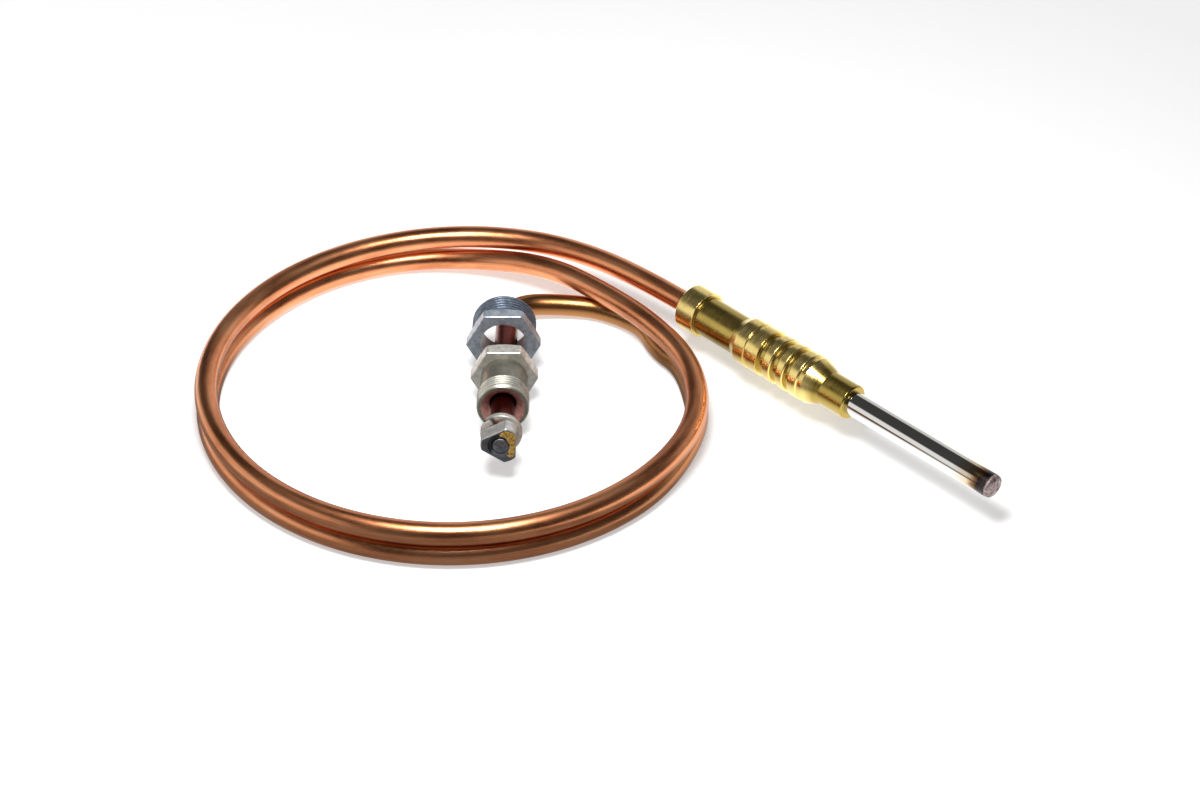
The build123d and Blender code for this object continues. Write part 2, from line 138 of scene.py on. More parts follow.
# Camera, floor and lamp
CAMERA_PLACE = Vector((224.54 * MM, -268.63 * MM, 272.51 * MM))
CAMERA_AZIMUTH = radians(46.07)
CAMERA_ELEVATION = radians(38.0)
CAMERA_LENS = 89.1
CAMERA_SENSOR = 36
CAMERA_NEAR_LIMIT = 0.01
FLOOR_HEIGHT = cad_box[0][2]
FLOOR_HALF = 2.0
FLOOR_COLOUR = (0.86, 0.86, 0.86)
FLOOR_ROUGHNESS = 0.9
GLOW_REACH = (0.14, 0.34)  # distances from the origin between which the glow changes
GLOW = (0.45, 0.80)  # what camera rays see added to the floor, near and far
LAMP_PLACE = Vector((0.002, -0.084, 0.21))
LAMP_TARGET = Vector((-0.03, -0.035, 0))
LAMP_SIDE = 0.08
LAMP_POWER = 0.5

# Reflections. Mirror and transmission rays see the floor at MIRRORED_FLOOR[0], and at [1] past
# BRIGHT_BEHIND along LOOK_ACROSS or past BRIGHT_RIGHT along LOOK_RIGHT. The room has ROOM_LEVEL
# all round, and walls of light that are (heading, half-width, top, strength).
LOOK_ACROSS = (-sin(CAMERA_AZIMUTH), cos(CAMERA_AZIMUTH), 0)
LOOK_RIGHT = (cos(CAMERA_AZIMUTH), sin(CAMERA_AZIMUTH), 0)
BRIGHT_BEHIND = (16 * MM, 32 * MM)
BRIGHT_RIGHT = (-26 * MM, -10 * MM)
MIRRORED_FLOOR = (0.30, 1.6)
ROOM_LEVEL = 0.06
BRIGHT_WALLS = (
    (radians(105), radians(42), radians(36), 0.75),
    (radians(-130), radians(38), radians(32), 1.0),
)
WALL_SIDE_FADE = radians(12)
WALL_TOP_FADE = radians(4)

scene = bpy.context.scene


# ---------------------------------------------------------------- node helpers
class Nodes:
    """A node tree with short calls for the nodes that are used here."""

    def __init__(self, tree):
        self.tree = tree

    def add(self, kind, **settings):
        node = self.tree.nodes.new(kind)
        for key, value in settings.items():
            setattr(node, key, value)
        return node

    def link(self, source, target):
        self.tree.links.new(source, target)

    def value(self, target, source):
        """Give a socket a number or a link."""
        if isinstance(source, (int, float)):
            target.default_value = source
        else:
            self.link(source, target)

    def coordinates(self, output="Object"):
        return self.add("ShaderNodeTexCoord").outputs[output]

    def mapping(self, source, scale):
        node = self.add("ShaderNodeMapping")
        node.inputs["Scale"].default_value = scale
        self.link(source, node.inputs["Vector"])
        return node.outputs["Vector"]

    def noise(self, vector, scale, detail, rough):
        node = self.add("ShaderNodeTexNoise")
        node.inputs["Scale"].default_value = scale
        node.inputs["Detail"].default_value = detail
        node.inputs["Roughness"].default_value = rough
        self.link(vector, node.inputs["Vector"])
        return node.outputs["Fac"]

    def math(self, operation, a, b=0.0):
        node = self.add("ShaderNodeMath", operation=operation)
        self.value(node.inputs[0], a)
        self.value(node.inputs[1], b)
        return node.outputs[0]

    def spread(self, source, low, high, to_low=0.0, to_high=1.0):
        """Map low..high to to_low..to_high, clamped."""
        node = self.add("ShaderNodeMapRange")
        self.link(source, node.inputs["Value"])
        ends = {"From Min": low, "From Max": high, "To Min": to_low, "To Max": to_high}
        for name, number in ends.items():
            node.inputs[name].default_value = number
        return node.outputs["Result"]

    def ramp(self, source, stops):
        node = self.add("ShaderNodeValToRGB")
        elements = node.color_ramp.elements
        while len(elements) < len(stops):
            elements.new(0.5)
        for element, (place, colour) in zip(elements, stops):
            element.position = place
            element.color = (*colour, 1)
        self.link(source, node.inputs["Fac"])
        return node.outputs["Color"]

    def mix(self, factor, a, b):
        node = self.add("ShaderNodeMix", data_type="RGBA")
        self.value(node.inputs["Factor"], factor)
        for socket, colour in ((node.inputs[6], a), (node.inputs[7], b)):
            if isinstance(colour, tuple):
                socket.default_value = (*colour, 1)
            else:
                self.link(colour, socket)
        return node.outputs[2]

    def along(self, vector, direction):
        """How far a vector reaches along a direction."""
        node = self.add("ShaderNodeVectorMath", operation="DOT_PRODUCT")
        self.link(vector, node.inputs[0])
        node.inputs[1].default_value = direction
        return node.outputs["Value"]

    def axis(self, vector, name):
        node = self.add("ShaderNodeSeparateXYZ")
        self.link(vector, node.inputs[0])
        return node.outputs[name]

    def radius(self, vector):
        """Distance from the local Z axis."""
        squares = []
        for name in "XY":
            part = self.axis(vector, name)
            squares.append(self.math("MULTIPLY", part, part))
        return self.math("SQRT", self.math("ADD", *squares))

    def emission(self, strength):
        node = self.add("ShaderNodeEmission")
        self.value(node.inputs["Strength"], strength)
        return node

    def mix_shaders(self, share, first, second):
        node = self.add("ShaderNodeMixShader")
        self.value(node.inputs[0], share)
        self.link(first.outputs[0], node.inputs[1])
        self.link(second.outputs[0], node.inputs[2])
        return node


class Material(Nodes):
    """A new material. Its colours are linear, its noise scales per metre, its bumps in metres."""

    def __init__(self, name, metallic=1.0):
        self.material = bpy.data.materials.new(name)
        self.material.use_nodes = True
        super().__init__(self.material.node_tree)
        self.shader = self.tree.nodes["Principled BSDF"]
        self.shader.inputs["Metallic"].default_value = metallic

    def bump(self, height, distance, strength):
        node = self.add("ShaderNodeBump")
        node.inputs["Distance"].default_value = distance
        node.inputs["Strength"].default_value = strength
        self.link(height, node.inputs["Height"])
        self.link(node.outputs["Normal"], self.shader.inputs["Normal"])

    def colour(self, source):
        target = self.shader.inputs["Base Color"]
        if isinstance(source, tuple):
            target.default_value = (*source, 1)
        else:
            self.link(source, target)

    def rough(self, source):
        self.value(self.shader.inputs["Roughness"], source)


# ---------------------------------------------------------------- materials
def copper_material():
    """Drawn copper: fine lines along the tube, warm tarnish in patches, darker and golden near the
    nuts, dark red painted shade inside them.
    """
    n = Material("drawn_copper")
    uv = n.coordinates("UV")
    metres = n.axis(uv, "X")
    patches = n.noise(n.mapping(uv, (26, 1.2, 1)), 3.0, 4.0, 0.6)
    lines = n.noise(n.mapping(uv, (18, 60, 1)), 2.0, 5.0, 0.7)
    stops = [(0.32, (0.56, 0.20, 0.085)), (0.52, (0.82, 0.33, 0.15)), (0.72, (0.90, 0.45, 0.23))]
    base = n.ramp(patches, stops)
    lined = n.mix(n.spread(lines, 0.46, 0.62, 0.0, 0.6), base, (0.36, 0.11, 0.05))
    old = n.spread(metres, *GOLDEN_ALONG)
    golden = n.mix(old, lined, n.mix(lines, (0.26, 0.10, 0.035), (0.55, 0.26, 0.095)))
    # Painted shade: the lead turns dark red where it runs inside the nuts.
    nut_shade = n.spread(metres, *NUT_SHADE_ALONG)
    n.colour(n.mix(nut_shade, golden, n.mix(lines, (0.06, 0.008, 0.006), (0.22, 0.035, 0.025))))
    n.rough(n.spread(n.math("ADD", patches, lines), 0.7, 1.3, 0.22, 0.38))
    n.bump(lines, 0.00003, 0.35)
    return n.material


def brass_material():
    """Turned brass: rings from the tool, bright crests and a darker olive colour wherever the sleeve is
    narrow, as in its grooves.
    """
    n = Material("turned_brass")
    place = n.coordinates()
    rings = n.noise(n.mapping(place, (60, 60, 9000)), 1.0, 2.0, 0.6)
    stains = n.noise(n.mapping(place, (520, 520, 300)), 1.0, 4.0, 0.62)
    bright = n.mix(stains, (0.93, 0.74, 0.30), (0.80, 0.58, 0.17))
    depth = n.spread(n.radius(place), 3.05 * MM, 3.55 * MM)
    deep = n.mix(depth, (0.42, 0.30, 0.07), bright)
    n.colour(n.mix(n.spread(stains, 0.56, 0.72, 0.0, 0.55), deep, (0.40, 0.28, 0.08)))
    n.rough(n.spread(n.math("ADD", rings, stains), 0.7, 1.3, 0.18, 0.34))
    n.bump(rings, 0.00002, 0.25)
    return n.material


def rod_material():
    """Polished steel rod with heat tint, from straw to brown to black, towards the tip."""
    n = Material("tinted_steel")
    place = n.coordinates()
    smoke = n.noise(n.mapping(place, (420, 420, 260)), 1.0, 4.0, 0.6)
    ragged = n.math("MULTIPLY", n.math("SUBTRACT", smoke, 0.5), 3.2 * MM)
    tint = n.spread(n.math("ADD", n.axis(place, "Z"), ragged), 0.0, ROD_LENGTH)
    stops = [
        (0.0, (0.66, 0.65, 0.63)),
        (0.78, (0.68, 0.66, 0.62)),
        (0.88, (0.58, 0.48, 0.34)),
        (0.93, (0.24, 0.13, 0.06)),
        (0.965, (0.03, 0.022, 0.02)),
        (1.0, (0.05, 0.04, 0.04)),
    ]
    n.colour(n.ramp(tint, stops))
    scratches = n.noise(n.mapping(place, (5200, 5200, 120)), 1.0, 2.0, 0.6)
    n.rough(n.spread(tint, 0.90, 1.0, 0.07, 0.38))
    n.bump(scratches, 0.000008, 0.25)
    return n.material


def weld_material():
    """Matte grey-pink weld bead, pitted and scaled by heat."""
    n = Material("weld_bead", metallic=0.75)
    place = n.coordinates()
    grain = n.noise(place, 1700, 4.0, 0.65)
    stops = [(0.32, (0.06, 0.045, 0.04)), (0.5, (0.33, 0.26, 0.25)), (0.72, (0.52, 0.44, 0.43))]
    n.colour(n.ramp(grain, stops))
    n.rough(n.spread(grain, 0.3, 0.7, 0.62, 0.45))
    n.bump(grain, 0.00012, 0.6)
    return n.material


def plated_material(name, light, dark, stain, thread=None, face=None, bore=None):
    """Dull plating on a turned piece with its axis on local Z. thread is the radii of its valley,
    where it is darker, and its crest. face is where a front face starts along the axis, and bore
    a bore's radius, each with two colours of its own."""
    n = Material(name, metallic=0.72)
    place = n.coordinates()
    mottle = n.noise(place, 900, 5.0, 0.65)
    specks = n.noise(place, 3400, 2.0, 0.6)
    body = n.mix(n.spread(mottle, 0.35, 0.68), light, dark)
    body = n.mix(n.spread(specks, 0.60, 0.74, 0.0, 0.6), body, stain)
    if thread:
        body = n.mix(n.spread(n.radius(place), *thread), n.mix(0.75, body, stain), body)
    if face:
        front = n.spread(n.axis(place, "Z"), face[0], face[0] + 0.02 * MM)
        body = n.mix(front, body, n.mix(mottle, *face[1]))
    if bore:
        inside = n.spread(n.radius(place), bore[0] + 0.04 * MM, bore[0] + 0.02 * MM)
        body = n.mix(inside, body, n.mix(mottle, *bore[1]))
    n.colour(body)
    n.rough(n.spread(mottle, 0.3, 0.7, 0.30, 0.48))
    turning = n.noise(n.mapping(place, (40, 40, 7000)), 1.0, 2.0, 0.6)
    n.bump(n.math("ADD", turning, n.math("MULTIPLY", specks, 0.6)), 0.00002, 0.5)
    return n.material


def cone_material():
    """Copper-stained plating inside the connector's cone."""
    n = Material("stained_cone", metallic=0.6)
    grain = n.noise(n.coordinates(), 1500, 4.0, 0.6)
    n.colour(n.mix(n.spread(grain, 0.35, 0.7), (0.80, 0.42, 0.36), (0.46, 0.20, 0.16)))
    n.rough(0.5)
    n.bump(grain, 0.00003, 0.4)
    return n.material


def flux_material():
    """Hardened flux: glossy amber with dark specks."""
    n = Material("amber_flux", metallic=0.0)
    place = n.coordinates()
    grain = n.noise(place, 2600, 4.0, 0.6)
    stops = [(0.36, (0.10, 0.05, 0.01)), (0.46, (0.42, 0.25, 0.05)), (0.7, (0.62, 0.43, 0.10))]
    n.colour(n.ramp(grain, stops))
    n.rough(n.spread(grain, 0.3, 0.7, 0.22, 0.38))
    n.bump(grain, 0.00005, 0.5)
    return n.material


def contact_material():
    """Blue-grey solder on the contact, dimpled as it froze."""
    n = Material("solder_button")
    grain = n.noise(n.coordinates(), 2100, 4.0, 0.6)
    n.colour(n.mix(n.spread(grain, 0.35, 0.65), (0.17, 0.20, 0.235), (0.36, 0.41, 0.46)))
    n.rough(n.spread(grain, 0.3, 0.7, 0.5, 0.34))
    n.bump(grain, 0.00006, 0.5)
    return n.material


def ring_material():
    """The terminal's insulating ring: painted shadow in black at its upper left, smeared with solder
    elsewhere.
    """
    n = Material("insulating_ring", metallic=0.0)
    place = n.coordinates()
    grain = n.noise(place, 2400, 3.0, 0.6)
    upper_left = (cos(WASHER_GAP_AT), sin(WASHER_GAP_AT), 0)
    # Painted shadow: the ring is black towards its upper left.
    painted_shadow = n.spread(n.along(place, upper_left), -0.2 * MM, 0.4 * MM)
    smear = n.mix(grain, (0.06, 0.07, 0.08), (0.24, 0.27, 0.31))
    n.colour(n.mix(painted_shadow, smear, (0.012, 0.012, 0.014)))
    n.rough(0.5)
    n.bump(grain, 0.00004, 0.4)
    return n.material


def inner_insulation_material():
    """Pale insulation with a fine grain, for the pieces inside."""
    n = Material("inner_insulation", metallic=0.0)
    grain = n.noise(n.coordinates(), 3000, 3.0, 0.6)
    n.colour(n.mix(grain, (0.55, 0.53, 0.48), (0.835, 0.805, 0.73)))
    n.rough(0.6)
    n.bump(grain, 0.00003, 0.4)
    return n.material


def braze_material():
    """Braze metal that has flowed and gone dull."""
    n = Material("flowed_braze")
    grain = n.noise(n.coordinates(), 1400, 4.0, 0.6)
    n.colour(n.mix(n.spread(grain, 0.35, 0.65), (0.62, 0.42, 0.18), (0.30, 0.16, 0.08)))
    n.rough(n.spread(grain, 0.3, 0.7, 0.30, 0.48))
    n.bump(grain, 0.00005, 0.5)
    return n.material


# ---------------------------------------------------------------- mesh helpers
def make_object(name, vertices, faces, material, uvs=None):
    mesh = bpy.data.meshes.new(name)
    mesh.from_pydata(vertices, [], faces)
    mesh.validate()
    if uvs:
        layer = mesh.uv_layers.new(name="UVMap")
        for loop in mesh.loops:
            layer.data[loop.index].uv = uvs[loop.vertex_index]
    for polygon in mesh.polygons:
        polygon.use_smooth = True
    mesh.materials.append(material)
    piece = bpy.data.objects.new(name, mesh)
    scene.collection.objects.link(piece)
    return piece


CURVE_SHARE = 0.40  # the most of a side that a rounded corner takes
SUPPORT_SHARE = 0.2  # how far past a rounded corner its support row lies, in corner radii


def ring_faces(first, second, count):
    """Quads between two closed rings of count vertices, given by the rings' numbers."""
    faces = []
    for j in range(count):
        k = (j + 1) % count
        faces.append((first * count + j, first * count + k, second * count + k, second * count + j))
    return faces


def rounded(points, radius, steps=4):
    """A profile with its inner corners replaced by small curves, each between two support rows
    that keep the straight stretches flat under smooth shading."""
    result = [points[0]]
    for before, corner, after in zip(points, points[1:], points[2:]):
        a, c, b = Vector(before), Vector(corner), Vector(after)
        back, ahead = (
            side.normalized() * min(radius, CURVE_SHARE * side.length) for side in (a - c, b - c)
        )
        start, end = c + back, c + ahead
        result.append(tuple(start + back * SUPPORT_SHARE))
        for i in range(steps + 1):
            t = i / steps
            result.append(tuple(start * (1 - t) ** 2 + c * 2 * t * (1 - t) + end * t**2))
        result.append(tuple(end + ahead * SUPPORT_SHARE))
    result.append(points[-1])
    return result


def lathe(name, profile, material, place, segments=128, reach=None):
    """Turn a profile of (radius, along) points about local Z. reach(angle, radius, along) may move
    each point. A profile that ends where it starts closes on itself."""
    vertices = []
    faces = []
    for radius, along in profile:
        for j in range(segments):
            angle = 2 * pi * j / segments
            r, z = reach(angle, radius, along) if reach else (radius, along)
            vertices.append((r * cos(angle), r * sin(angle), z))
    closed = profile[0] == profile[-1]
    rows = len(profile) - 1
    for i in range(rows):
        following = 0 if closed and i == rows - 1 else i + 1
        faces += ring_faces(i, following, segments)
    if closed:
        vertices = vertices[: rows * segments]
    piece = make_object(name, vertices, faces, material)
    clean(piece)
    piece.matrix_world = place
    return piece


def clean(piece, distance=1e-7):
    """Merge points that lie together, drop empty faces, and turn the normals outwards."""
    shape = bmesh.new()
    shape.from_mesh(piece.data)
    bmesh.ops.remove_doubles(shape, verts=shape.verts, dist=distance)
    bmesh.ops.dissolve_degenerate(shape, edges=shape.edges, dist=distance)
    bmesh.ops.recalc_face_normals(shape, faces=shape.faces)
    shape.to_mesh(piece.data)
    shape.free()


def finish_piece(piece, body, slot, *nodes):
    """Say which body a piece rides on, and the CAD nodes it replaces. slot, the material slot, is not
    used.
    """
    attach(piece, body)
    if nodes:
        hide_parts(*nodes)


# ---------------------------------------------------------------- places
run_direction = Vector(
    (cos(RUN_RISE) * cos(RUN_HEADING), cos(RUN_RISE) * sin(RUN_HEADING), sin(RUN_RISE))
)
run_side = Vector((-sin(RUN_HEADING), cos(RUN_HEADING), 0))
run_up = run_direction.cross(run_side)


def run_place(along=0.0, shift=(0, 0)):
    """Local Z runs along the lead towards the terminal, local X is to the side and Y is up."""
    origin = RUN_ORIGIN + run_direction * along + run_side * shift[0] + run_up * shift[1]
    turn = Matrix((run_side, run_up, run_direction)).transposed()
    return Matrix.Translation(origin) @ turn.to_4x4()


PROBE_PLACE = Matrix.Rotation(radians(90), 4, "Y")  # local Z runs along the probe's X


# ---------------------------------------------------------------- lead
def blend(share):
    """A smooth step from 0 to 1."""
    share = min(max(share, 0), 1)
    return share * share * (3 - 2 * share)


def dent_share(angle, middle, before, after):
    """How much of a dent's depth there is at an angle: 1 at its middle, 0 past its reaches."""
    reach = (angle - middle) / (before if angle < middle else after)
    return (1 + cos(pi * reach)) / 2 if abs(reach) < 1 else 0


def coil_corner(angle):
    """A control point of the coil. It lies outside the line, which cuts its corners."""
    radius = COIL_RADIUS + COIL_OVAL * cos(radians(2 * (angle - COIL_OVAL_ANGLE)))
    radius -= sum(depth * dent_share(angle, *dent) for depth, *dent in COIL_DENTS)
    radius /= CORNER_SHARE
    height = -sum(drop * blend((angle - start) / reach) for drop, start, reach in COIL_DROPS)
    x = COIL_CENTRE[0] + radius * cos(radians(angle))
    y = COIL_CENTRE[1] + radius * sin(radians(angle))
    return (x, y, height)


def lead_route():
    """The route's points, from inside the sleeve to inside the terminal."""
    points = [(-SLEEVE_LENGTH + LEAD_SEAT, 0, 0), (-SLEEVE_LENGTH - EXIT_BEND, 0, 0)]
    for i in range(COIL_CORNERS):
        points.append(coil_corner(COIL_FIRST_ANGLE + i * 360 / CORNERS_PER_TURN))
    points += [tuple(part * MM for part in point) for point in TAIL_POINTS]
    for along in (BEND_ALONG, BEND_NEXT_ALONG, LEAD_END_ALONG):
        points.append(RUN_ORIGIN + run_direction * along)
    return [Vector(point) for point in points]


def smooth_line(points):
    """Points along the NURBS line that has the route's points as its control points."""
    curve = bpy.data.curves.new("lead_line", "CURVE")
    curve.dimensions = "3D"
    curve.resolution_u = 14
    spline = curve.splines.new("NURBS")
    spline.points.add(len(points) - 1)
    for point, place in zip(spline.points, points):
        point.co = (*place, 1)
    spline.order_u = 3
    spline.use_endpoint_u = True
    holder = bpy.data.objects.new("lead_line", curve)
    scene.collection.objects.link(holder)
    mesh = bpy.data.meshes.new_from_object(holder)
    line = [vertex.co.copy() for vertex in mesh.vertices]
    bpy.data.objects.remove(holder)
    bpy.data.meshes.remove(mesh)
    return line


def lead_tube(material):
    """A round tube along the lead's line, with UVs in metres along it and turns around it."""
    line = smooth_line(lead_route())
    vertices = []
    faces = []
    uvs = []
    tangent = (line[1] - line[0]).normalized()
    side = tangent.cross(Vector((0, 0, 1))).normalized()
    travelled = 0.0
    for i, place in enumerate(line):
        new_tangent = (line[min(i + 1, len(line) - 1)] - line[max(i - 1, 0)]).normalized()
        side = (tangent.rotation_difference(new_tangent) @ side).normalized()
        tangent = new_tangent
        up = tangent.cross(side)
        travelled += (place - line[i - 1]).length if i else 0
        radius = LEAD_RADIUS * (1 - 0.006 - 0.006 * noise.noise(Vector((travelled * 90, 0, 0))))
        for j in range(LEAD_SEGMENTS + 1):
            angle = 2 * pi * j / LEAD_SEGMENTS
            vertices.append(place + (side * cos(angle) + up * sin(angle)) * radius)
            uvs.append((travelled, j / LEAD_SEGMENTS))
    ring = LEAD_SEGMENTS + 1
    for i in range(len(line) - 1):
        for j in range(LEAD_SEGMENTS):
            this, following = i * ring + j, (i + 1) * ring + j
            faces.append((this, following, following + 1, this + 1))
    piece = make_object("copper_lead", vertices, faces, material, uvs)
    finish_piece(piece, "probe_and_lead", "copper", "lead_tube")
    return piece, line


# ---------------------------------------------------------------- probe
# Millimetres, as in the sleeve's outline. Ribs are (start, end, radius of what follows).
SLEEVE_BORE = 1.80
SLEEVE_GROOVE = 3.15
SLEEVE_CREST = 3.75
SLEEVE_RIBS = ((19.4, 21.05, 3.15), (22.2, 23.7, 3.15), (24.6, 26.5, 3.45))


def brass_sleeve(material):
    """The turned sleeve: collar, neck, band, three ribs, a tapering rib and the nose."""
    mm = [(0.0, SLEEVE_BORE), (0.0, 2.35), (1.1, 3.65), (4.5, 3.65), (4.5, 3.10), (12.2, 3.10)]
    mm += [(13.5, SLEEVE_CREST), (15.5, SLEEVE_CREST), (15.5, 3.55), (16.2, 3.55)]
    mm += [(16.2, SLEEVE_CREST), (18.2, SLEEVE_CREST), (18.2, SLEEVE_GROOVE)]
    for start, end, following in SLEEVE_RIBS:
        mm += [(start, SLEEVE_GROOVE), (start, 3.55), (start + 0.2, SLEEVE_CREST)]
        mm += [(end - 0.2, SLEEVE_CREST), (end, 3.55), (end, following)]
    mm += [(27.4, 3.45), (27.4, SLEEVE_CREST), (30.2, 2.75), (34.7, 2.75), (34.9, 2.55), (34.9, 1.88)]
    profile = [(radius * MM, along * MM - SLEEVE_LENGTH) for along, radius in mm]
    profile = rounded(profile, 0.08 * MM) + [(SLEEVE_BORE * MM, 0)]
    piece = lathe("sleeve", profile, material, PROBE_PLACE)
    finish_piece(piece, "probe_and_lead", "brass", "brass_sleeve")


def probe_rod(steel, bead):
    """The polished rod and the weld bead that closes it."""
    inner = 1.40 * MM
    profile = [(inner, 0.0), (ROD_RADIUS, 0.0), (ROD_RADIUS, ROD_LENGTH), (inner, ROD_LENGTH)]
    rod = lathe("rod", rounded(profile, 0.06 * MM), steel, PROBE_PLACE, 128)
    finish_piece(rod, "probe_and_lead", "probe_steel", "probe_sheath")
    shoulder = ROD_LENGTH + WELD_HEIGHT / 4
    steps = 14
    seam = ROD_LENGTH + 0.01 * MM
    dome = [(ON_AXIS, seam), (ROD_RADIUS, seam), (ROD_RADIUS, shoulder)]
    for i in range(1, steps + 1):
        angle = pi / 2 * i / steps
        rise = WELD_HEIGHT * 0.75 * sin(angle)
        dome.append((ROD_RADIUS * cos(angle) ** 0.8 if i < steps else ON_AXIS, shoulder + rise))

    def lumpy(angle, radius, along):
        spot = Vector((radius * cos(angle), radius * sin(angle), along)) / (0.7 * MM)
        inward = 0.035 * MM * (1 + noise.noise(spot))
        return radius * (1 - inward / ROD_RADIUS), along - (inward if along > shoulder else 0)

    weld = lathe("weld", dome, bead, PROBE_PLACE, 96, lumpy)
    finish_piece(weld, "probe_and_lead", "weld_metal", "hot_junction_weld")


def rear_braze(material):
    """The small concave fillet of braze where the lead enters the sleeve."""
    inner = LEAD_RADIUS + 0.025 * MM
    leg = 0.5 * MM
    steps = 6
    profile = [(inner, -SLEEVE_LENGTH)]
    for i in range(steps + 1):
        angle = pi / 2 * i / steps
        profile.append((inner + leg * (1 - sin(angle)), -SLEEVE_LENGTH - leg * (1 - cos(angle))))
    profile.append((inner, -SLEEVE_LENGTH))
    ring = lathe("braze_fillet", profile, material, PROBE_PLACE, 64)
    finish_piece(ring, "probe_and_lead", "braze", "rear_braze_ring")


# ---------------------------------------------------------------- nuts
def thread_rows(start, end, crest, pitch, per_pitch=14):
    """Profile rows for a thread: they are spaced evenly, and thread_reach() winds them."""
    count = max(2, round((end - start) / pitch * per_pitch))
    return [(crest, start + (end - start) * i / count) for i in range(count + 1)]


def thread_height(turns):
    """Height of a 60 degree thread with flat crests and roots, from 0 to 1, at a share of a turn."""
    share = turns % 1
    rise = 1 - abs(2 * share - 1)
    return min(max((rise - 0.16) / 0.68, 0), 1)


def thread_reach(start, end, crest, pitch, depth, fade=0.3 * MM):
    """Sinks the rows between start and end into a right-handed thread."""

    def reach(angle, radius, along):
        if along < start - 1e-9 or along > end + 1e-9 or radius < crest - 0.02 * MM:
            return radius, along
        turns = along / pitch - angle / (2 * pi)
        edge = min(1, (along - start) / fade, (end - along) / fade)
        sink = depth * (1 - thread_height(turns)) * max(edge, 0)
        return radius - sink, along

    return reach


def hex_radius(angle, across_flats, corner=0.35 * MM):
    """Distance from a hexagon's centre to its side, with a flat on top and small round corners."""
    half = across_flats / 2
    off = (angle - pi / 2 + pi / 6) % (pi / 3) - pi / 6
    centre = (half - corner) / cos(pi / 6)
    past = pi / 6 - abs(off)
    if half * sin(abs(off)) / cos(off) < (half - corner) * tan(pi / 6):
        return half / cos(off)
    return centre * cos(past) + sqrt(max(corner**2 - (centre * sin(past)) ** 2, 0))


def hex_body(name, across_flats, start, end, bore, material, place):
    """A hexagon with a bore. Its corners are turned round on the start side."""
    segments = 240
    rim = across_flats / 2 - 0.12 * MM
    slope = tan(radians(30))
    soft = 0.10 * MM
    columns = []
    for j in range(segments):
        angle = 2 * pi * j / segments
        outer = hex_radius(angle, across_flats)
        cut = max(outer - rim, 0) * slope
        ladder = [
            (bore, start),
            (rim, start),
            (outer - soft * 0.5, start + cut - soft * 0.3),
            (outer, start + cut + soft * 0.6),
            (outer, end - soft),
            (outer - soft, end),
            (bore, end),
        ]
        columns.append([(radius * cos(angle), radius * sin(angle), along) for radius, along in ladder])
    rows = list(zip(*columns))
    vertices = [vertex for row in rows for vertex in row]
    faces = []
    for i in range(len(rows)):
        faces += ring_faces(i, (i + 1) % len(rows), segments)
    piece = make_object(name, vertices, faces, material)
    clean(piece)
    sharpen(piece, 28)
    piece.matrix_world = place
    return piece


def sharpen(piece, degrees_limit):
    """Mark edges sharper than the limit, so that flats stay flat under smooth shading."""
    piece.data.set_sharp_from_angle(angle=radians(degrees_limit))


def connector_nut(plated, threaded, stained):
    """The connector nut: hexagon, barrel, M8 thread, and the cone that seats on the terminal."""
    barrel = CONNECTOR_ALONG + CONNECTOR_HEX_LENGTH
    thread = barrel + CONNECTOR_BARREL_LENGTH
    front = thread + CONNECTOR_THREAD_LENGTH
    place = run_place()
    hexagon = hex_body(
        "connector_hexagon", CONNECTOR_HEX, CONNECTOR_ALONG, barrel, CONNECTOR_BORE, plated, place
    )
    finish_piece(hexagon, "connector", "nickel_plate", "connector_nut")
    crest = CONNECTOR_THREAD_RADIUS
    bevel = 0.32 * MM
    profile = [(CONNECTOR_BORE, barrel), (CONNECTOR_BARREL_RADIUS, barrel)]
    profile += [(CONNECTOR_BARREL_RADIUS, thread - 0.25 * MM), (crest - 0.45 * MM, thread)]
    profile += thread_rows(thread + 0.1 * MM, front - bevel, crest, CONNECTOR_THREAD_PITCH)
    profile += [(crest - bevel, front), (CONNECTOR_CONE + CONNECTOR_RIM_GAP, front)]
    pitch, sink = CONNECTOR_THREAD_PITCH, CONNECTOR_THREAD_DEPTH
    wind = thread_reach(thread, front - bevel, crest, pitch, sink)
    body = lathe("connector_body", profile, threaded, place, NUT_SEGMENTS, wind)
    sharpen(body, 40)
    finish_piece(body, "connector", "nickel_plate")
    depth = CONNECTOR_CONE - CONNECTOR_BORE
    cone = [(CONNECTOR_CONE + CONNECTOR_RIM_GAP, front), (CONNECTOR_CONE, front - 0.02 * MM)]
    cone += [(CONNECTOR_BORE, front - depth), (CONNECTOR_BORE, barrel)]
    seat = lathe("connector_seat", cone, stained, place, 128)
    sharpen(seat, 40)
    finish_piece(seat, "connector", "nickel_plate")


def adapter_nut(plated, threaded):
    """The adapter nut: hexagon, M10 thread and a wide bore. It starts at the run's origin."""
    neck = ADAPTER_THREAD_LENGTH
    place = run_place(0, ADAPTER_SHIFT)
    end = neck + ADAPTER_HEX_LENGTH
    hexagon = hex_body("adapter_hexagon", ADAPTER_HEX, neck, end, ADAPTER_BORE, plated, place)
    finish_piece(hexagon, "adapter", "zinc_plate", "adapter_nut")
    crest = ADAPTER_THREAD_RADIUS
    bevel = 0.35 * MM
    mouth = 0.6 * MM
    profile = [(ADAPTER_BORE, neck), (ADAPTER_BORE, mouth), (ADAPTER_BORE + mouth, 0.0)]
    profile += [(crest - bevel, 0.0)]
    profile += thread_rows(bevel, neck, crest, ADAPTER_THREAD_PITCH)
    wind = thread_reach(bevel, neck, crest, ADAPTER_THREAD_PITCH, ADAPTER_THREAD_DEPTH)
    body = lathe("adapter_body", profile, threaded, place, NUT_SEGMENTS, wind)
    sharpen(body, 40)
    finish_piece(body, "adapter", "zinc_plate")


